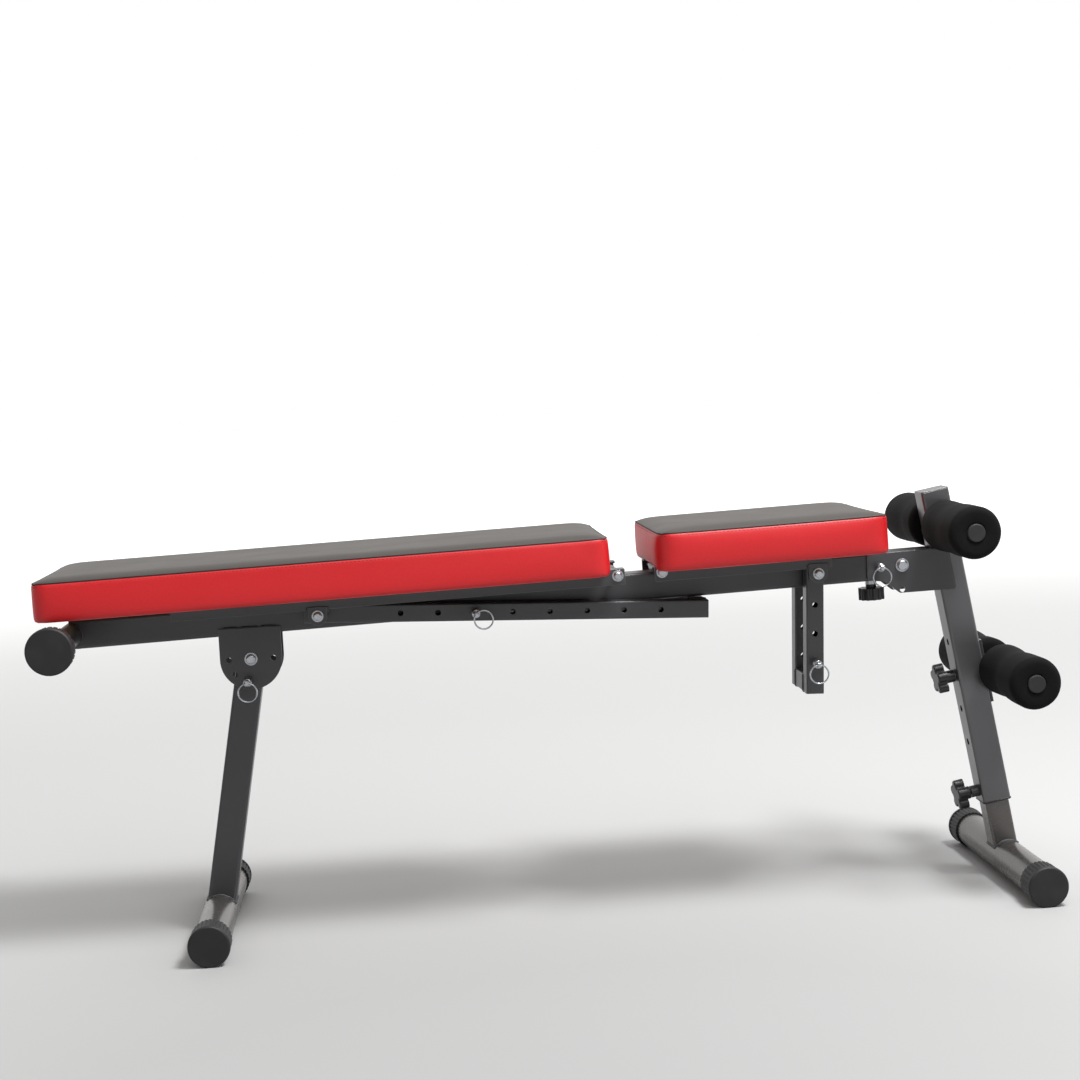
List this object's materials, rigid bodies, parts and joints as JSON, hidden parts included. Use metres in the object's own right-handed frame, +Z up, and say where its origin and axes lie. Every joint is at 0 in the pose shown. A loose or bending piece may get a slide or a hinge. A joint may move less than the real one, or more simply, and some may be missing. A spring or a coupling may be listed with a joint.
{
  "type": "adjustable weight bench",
  "caption": "Folding adjustable weight bench with hinged backrest and seat pads, pinned struts, folding legs and foam leg rollers.",
  "frame": {"origin": "on the floor, under the middle of the bench", "axes": "+X from the head end to the foot rollers, +Y across the bench, +Z up"},
  "size_m": [1.3823, 0.38, 0.5726],
  "materials": {
    "frame_paint": "satin dark grey powder coat",
    "foot_paint": "glossy mid grey enamel",
    "vinyl": "red and dark grey padded vinyl",
    "plywood": "bare plywood",
    "foam": "matt black closed-cell foam",
    "cap_rubber": "black ribbed rubber",
    "black_plastic": "moulded black plastic",
    "zinc": "bright zinc plate"
  },
  "bodies": {
    "main_frame": {"main_beam": "frame_paint", "rear_bar_tube": "frame_paint", "rear_bar_caps": "cap_rubber", "rear_leg_plates": "frame_paint", "hinge_sleeves": "frame_paint", "pivot_bolts": "zinc", "frame_nuts": "zinc"},
    "backrest": {"backrest_cushion": "vinyl", "backrest_board": "plywood", "backrest_rail_near": "frame_paint", "backrest_rail_far": "frame_paint", "backrest_strut_lugs": "frame_paint", "backrest_pad_screws": "zinc", "backrest_hinge_bolt": "zinc", "backrest_strut_bolts": "zinc", "backrest_nuts": "zinc"},
    "backrest_strut": {"backrest_strut_arms": "frame_paint", "backrest_strut_crossbar": "frame_paint"},
    "seat": {"seat_cushion": "vinyl", "seat_board": "plywood", "seat_rail_near": "frame_paint", "seat_rail_far": "frame_paint", "seat_strut_lugs": "frame_paint", "seat_pad_screws": "zinc", "seat_hinge_bolt": "zinc", "seat_hinge_nut": "zinc"},
    "seat_strut_hanger": {"seat_strut_bolts": "zinc", "seat_strut_nuts": "zinc"},
    "seat_strut": {"seat_strut_arms": "frame_paint", "seat_strut_crossbar": "frame_paint"},
    "front_post": {"post_outer_tube": "frame_paint", "post_top_plug": "black_plastic", "post_plates": "frame_paint", "upper_roller_tube": "frame_paint", "lower_roller_tube": "frame_paint", "lower_roller_bracket": "frame_paint", "lower_roller_bolt": "zinc", "roller_tube_plugs": "black_plastic", "post_clamp_nut": "frame_paint"},
    "front_foot": {"post_inner_tube": "foot_paint", "front_foot_tube": "foot_paint", "front_foot_caps": "cap_rubber"},
    "rear_leg": {"rear_leg_tube": "frame_paint", "rear_foot_tube": "foot_paint", "rear_foot_caps": "cap_rubber"},
    "upper_roller_near": {"upper_roller_near": "foam"},
    "upper_roller_far": {"upper_roller_far": "foam"},
    "lower_roller_near": {"lower_roller_near": "foam"},
    "lower_roller_far": {"lower_roller_far": "foam"},
    "roller_knob": {"roller_knob": "black_plastic"},
    "height_knob": {"height_knob": "black_plastic"},
    "beam_knob": {"beam_knob": "black_plastic"},
    "rear_leg_pin": {"rear_leg_pin": "zinc"},
    "rear_leg_pin_ring": {"rear_leg_pin_ring": "zinc"},
    "front_post_pin": {"front_post_pin": "zinc"},
    "front_post_pin_ring": {"front_post_pin_ring": "zinc"},
    "backrest_strut_pin": {"backrest_strut_pin": "zinc"},
    "backrest_strut_pin_ring": {"backrest_strut_pin_ring": "zinc"},
    "seat_strut_pin": {"seat_strut_pin": "zinc"},
    "seat_strut_pin_ring": {"seat_strut_pin_ring": "zinc"}
  },
  "joints": [
    {"name": "backrest_recline", "type": "hinge", "parent": "main_frame", "child": "backrest", "pos_m": [0.10063, 0, 0.4773], "axis": [0, 1, 0], "range_deg": [0, 67]},
    {"name": "backrest_strut_swing", "type": "hinge", "parent": "backrest", "child": "backrest_strut", "pos_m": [-0.31567, 0, 0.446], "axis": [0, 1, 0], "range_deg": [0, 20.8]},
    {"name": "seat_incline", "type": "hinge", "parent": "main_frame", "child": "seat", "pos_m": [0.16263, 0, 0.47896], "axis": [0, 1, 0], "range_deg": [-31, 0]},
    {"name": "seat_strut_hang", "type": "hinge", "parent": "seat", "child": "seat_strut_hanger", "pos_m": [0.38213, 0, 0.4642], "axis": [0, 1, 0], "range_deg": [0, 31]},
    {"name": "seat_strut_swing", "type": "hinge", "parent": "seat_strut_hanger", "child": "seat_strut", "pos_m": [0.38213, 0, 0.4642], "axis": [0, 1, 0], "range_deg": [0, 60.5]},
    {"name": "front_post_fold", "type": "hinge", "parent": "main_frame", "child": "front_post", "pos_m": [0.51413, 0, 0.46434], "axis": [0, 1, 0], "range_deg": [0, 90]},
    {"name": "front_foot_slide", "type": "slide", "parent": "front_post", "child": "front_foot", "axis": [0.1676, 0, -0.9859], "range_m": [0, 0.1]},
    {"name": "rear_leg_fold", "type": "hinge", "parent": "main_frame", "child": "rear_leg", "pos_m": [-0.41377, 0, 0.3857], "axis": [0, -1, 0], "range_deg": [0, 100]},
    {"name": "upper_roller_near_spin", "type": "hinge", "parent": "front_post", "child": "upper_roller_near", "pos_m": [0.57723, 0, 0.518], "axis": [0, 1, 0], "continuous": true},
    {"name": "upper_roller_far_spin", "type": "hinge", "parent": "front_post", "child": "upper_roller_far", "pos_m": [0.57723, 0, 0.518], "axis": [0, 1, 0], "continuous": true},
    {"name": "lower_roller_near_spin", "type": "hinge", "parent": "front_post", "child": "lower_roller_near", "pos_m": [0.65437, 0, 0.30714], "axis": [0, 1, 0], "continuous": true},
    {"name": "lower_roller_far_spin", "type": "hinge", "parent": "front_post", "child": "lower_roller_far", "pos_m": [0.65437, 0, 0.30714], "axis": [0, 1, 0], "continuous": true},
    {"name": "roller_knob_turn", "type": "hinge", "parent": "front_post", "child": "roller_knob", "pos_m": [0.5828, 0, 0.29497], "axis": [-0.9859, 0, -0.1676], "continuous": true},
    {"name": "height_knob_turn", "type": "hinge", "parent": "front_post", "child": "height_knob", "pos_m": [0.61188, 0, 0.12397], "axis": [-0.9859, 0, -0.1676], "continuous": true},
    {"name": "beam_knob_turn", "type": "hinge", "parent": "main_frame", "child": "beam_knob", "pos_m": [0.47363, 0, 0.44325], "axis": [0.0267, 0, -0.9996], "continuous": true},
    {"name": "rear_leg_pin_pull", "type": "slide", "parent": "main_frame", "child": "rear_leg_pin", "axis": [0, -1, 0], "range_m": [0, 0.03]},
    {"name": "rear_leg_pin_ring_swing", "type": "hinge", "parent": "rear_leg_pin", "child": "rear_leg_pin_ring", "pos_m": [-0.41937, -0.0475, 0.35521], "axis": [-1, 0, 0], "range_deg": [-12, 90]},
    {"name": "front_post_pin_pull", "type": "slide", "parent": "front_post", "child": "front_post_pin", "axis": [0, -1, 0], "range_m": [0, 0.03]},
    {"name": "front_post_pin_ring_swing", "type": "hinge", "parent": "front_post_pin", "child": "front_post_pin_ring", "pos_m": [0.47913, -0.0475, 0.46434], "axis": [-1, 0, 0], "range_deg": [-12, 90]},
    {"name": "backrest_strut_pin_pull", "type": "slide", "parent": "backrest_strut", "child": "backrest_strut_pin", "axis": [0, -1, 0], "range_m": [0, 0.03]},
    {"name": "backrest_strut_pin_ring_swing", "type": "hinge", "parent": "backrest_strut_pin", "child": "backrest_strut_pin_ring", "pos_m": [-0.0984, -0.075, 0.43613], "axis": [-0.6428, 0, -0.766], "range_deg": [-12, 90]},
    {"name": "seat_strut_pin_pull", "type": "slide", "parent": "seat_strut", "child": "seat_strut_pin", "axis": [0, -1, 0], "range_m": [0, 0.03]},
    {"name": "seat_strut_pin_ring_swing", "type": "hinge", "parent": "seat_strut_pin", "child": "seat_strut_pin_ring", "pos_m": [0.37764, -0.075, 0.33578], "axis": [-1, 0, 0], "range_deg": [-12, 90]}
  ],
  "couplings": [
    {"joint": "backrest_strut_swing", "follows": "backrest_recline", "ratio": 0.307},
    {"joint": "seat_strut_hang", "follows": "seat_incline", "ratio": -1},
    {"joint": "seat_strut_swing", "follows": "front_post_fold", "ratio": 0.67}
  ]
}
